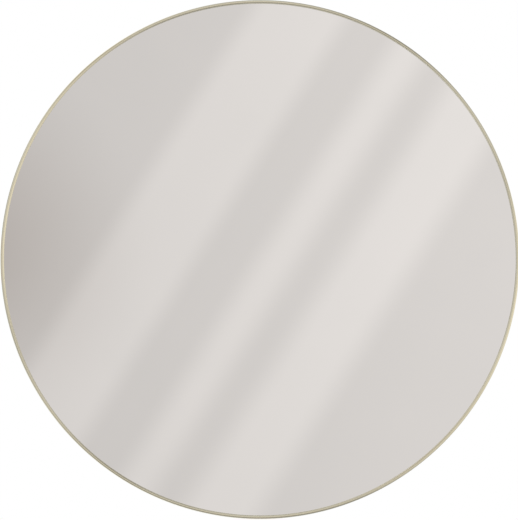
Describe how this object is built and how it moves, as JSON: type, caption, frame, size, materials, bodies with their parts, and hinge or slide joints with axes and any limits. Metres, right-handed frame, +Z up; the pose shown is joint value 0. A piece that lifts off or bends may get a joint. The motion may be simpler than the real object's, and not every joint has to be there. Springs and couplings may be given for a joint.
{
  "type": "round mirror",
  "caption": "Round wall mirror with a slim convex brass-coloured metal frame, silvered glass on a backing board, and two swinging D-ring hangers at the back.",
  "frame": {"origin": "on the wall plane, behind the centre of the glass", "axes": "+Z up, +Y from the glass to the wall, +X to the right as seen from the front"},
  "size_m": [0.8, 0.028, 0.7999],
  "materials": {
    "frame_metal": "satin",
    "mirror": "polished",
    "backing_paint": "matte",
    "film": "satin",
    "foam": "matte",
    "board": "matte",
    "gasket": "matte",
    "zinc_steel": "satin",
    "spring_steel": "satin",
    "black_steel": "satin",
    "bumper_rubber": "matte"
  },
  "bodies": {
    "mirror": {"frame_ring": "frame_metal", "splice_plate": "zinc_steel", "splice_screws": "black_steel", "glazing_gasket": "gasket", "mirror_glass": "mirror", "edge_spacers": "gasket", "silver_coating": "backing_paint", "safety_film": "film", "foam_tape": "foam", "backing_board": "board", "spring_clips": "spring_steel", "left_hanger_strap": "zinc_steel", "right_hanger_strap": "zinc_steel", "left_hanger_screws": "zinc_steel", "right_hanger_screws": "zinc_steel", "wall_bumpers": "bumper_rubber"},
    "left_ring": {"left_d_ring": "zinc_steel"},
    "right_ring": {"right_d_ring": "zinc_steel"}
  },
  "joints": [
    {"name": "left_ring_swing", "type": "hinge", "parent": "mirror", "child": "left_ring", "pos_m": [-0.2, -0.00755, 0.18], "axis": [-1, 0, 0], "range_deg": [-3, 172]},
    {"name": "right_ring_swing", "type": "hinge", "parent": "mirror", "child": "right_ring", "pos_m": [0.2, -0.00755, 0.18], "axis": [-1, 0, 0], "range_deg": [-3, 172]}
  ]
}
